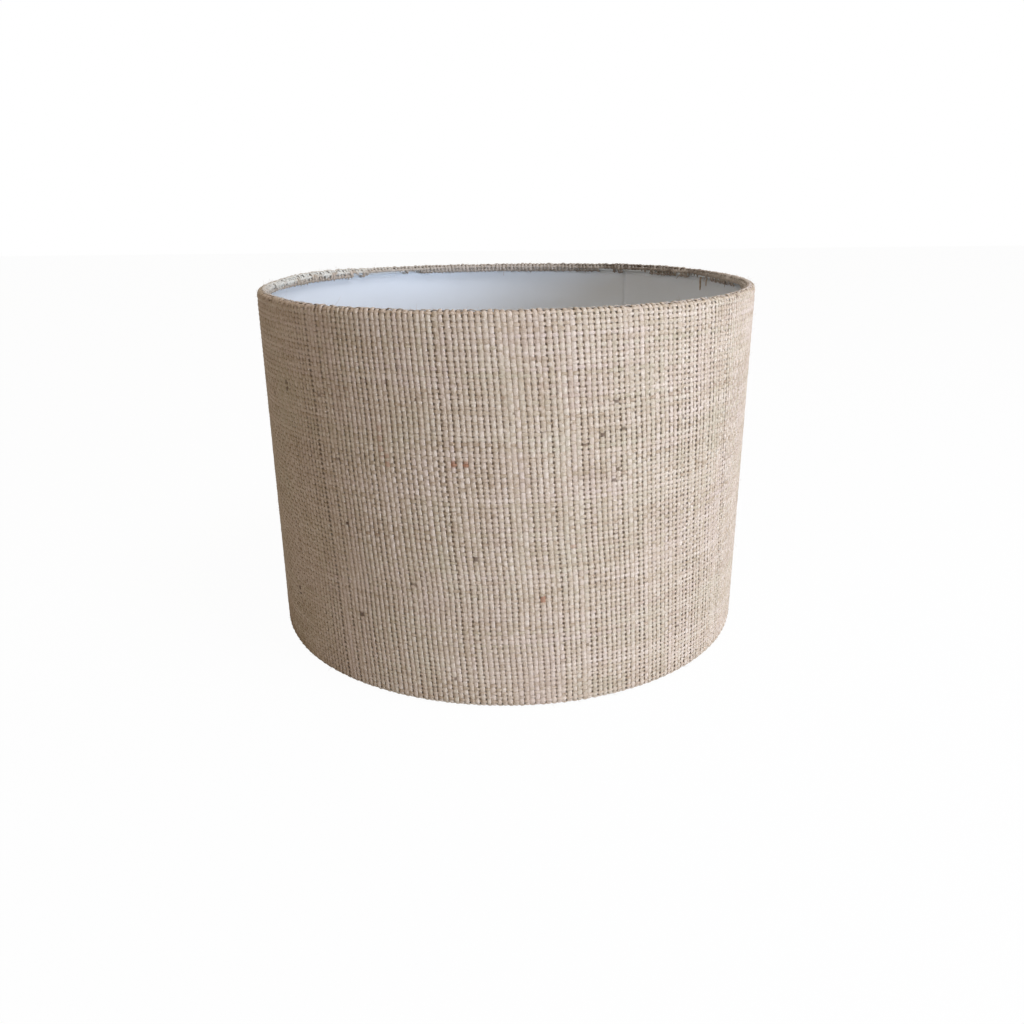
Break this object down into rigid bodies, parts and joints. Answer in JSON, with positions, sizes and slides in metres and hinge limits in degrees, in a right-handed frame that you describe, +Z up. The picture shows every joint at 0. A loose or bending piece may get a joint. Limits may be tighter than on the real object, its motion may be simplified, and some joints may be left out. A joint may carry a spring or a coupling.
{
  "type": "lamp shade",
  "caption": "Straight drum lamp shade in coarse jute cloth on a white liner, with rolled edges over wire rings, a sunken wire fitter at the base and a lift-out reducer ring.",
  "frame": {"origin": "centre of the circle that the lower rolled edge stands on", "axes": "+Z up along the drum's axis, +Y towards the back, where the seam is, +X to the right seen from the front"},
  "size_m": [0.3, 0.3, 0.212],
  "materials": {
    "jute": "coarse plain weave, matte, slubby natural yarn",
    "liner": "satin white sheet",
    "wire": "white baked coating on steel wire",
    "tape": "thin translucent double-sided tape",
    "reducer": "satin moulded white"
  },
  "bodies": {
    "shade": {"jute_cover": "jute", "liner": "liner", "seam_tape": "tape", "top_ring": "wire", "bottom_ring": "wire", "top_ring_tape": "tape", "bottom_ring_tape": "tape", "fitter_arm_1": "wire", "fitter_arm_2": "wire", "fitter_arm_3": "wire", "fitter_washer": "wire"},
    "reducer": {"reducer_ring": "reducer"}
  },
  "joints": [
    {"name": "reducer_lift", "type": "slide", "parent": "shade", "child": "reducer", "axis": [0, 0, 1], "range_m": [0, 0.06]}
  ]
}
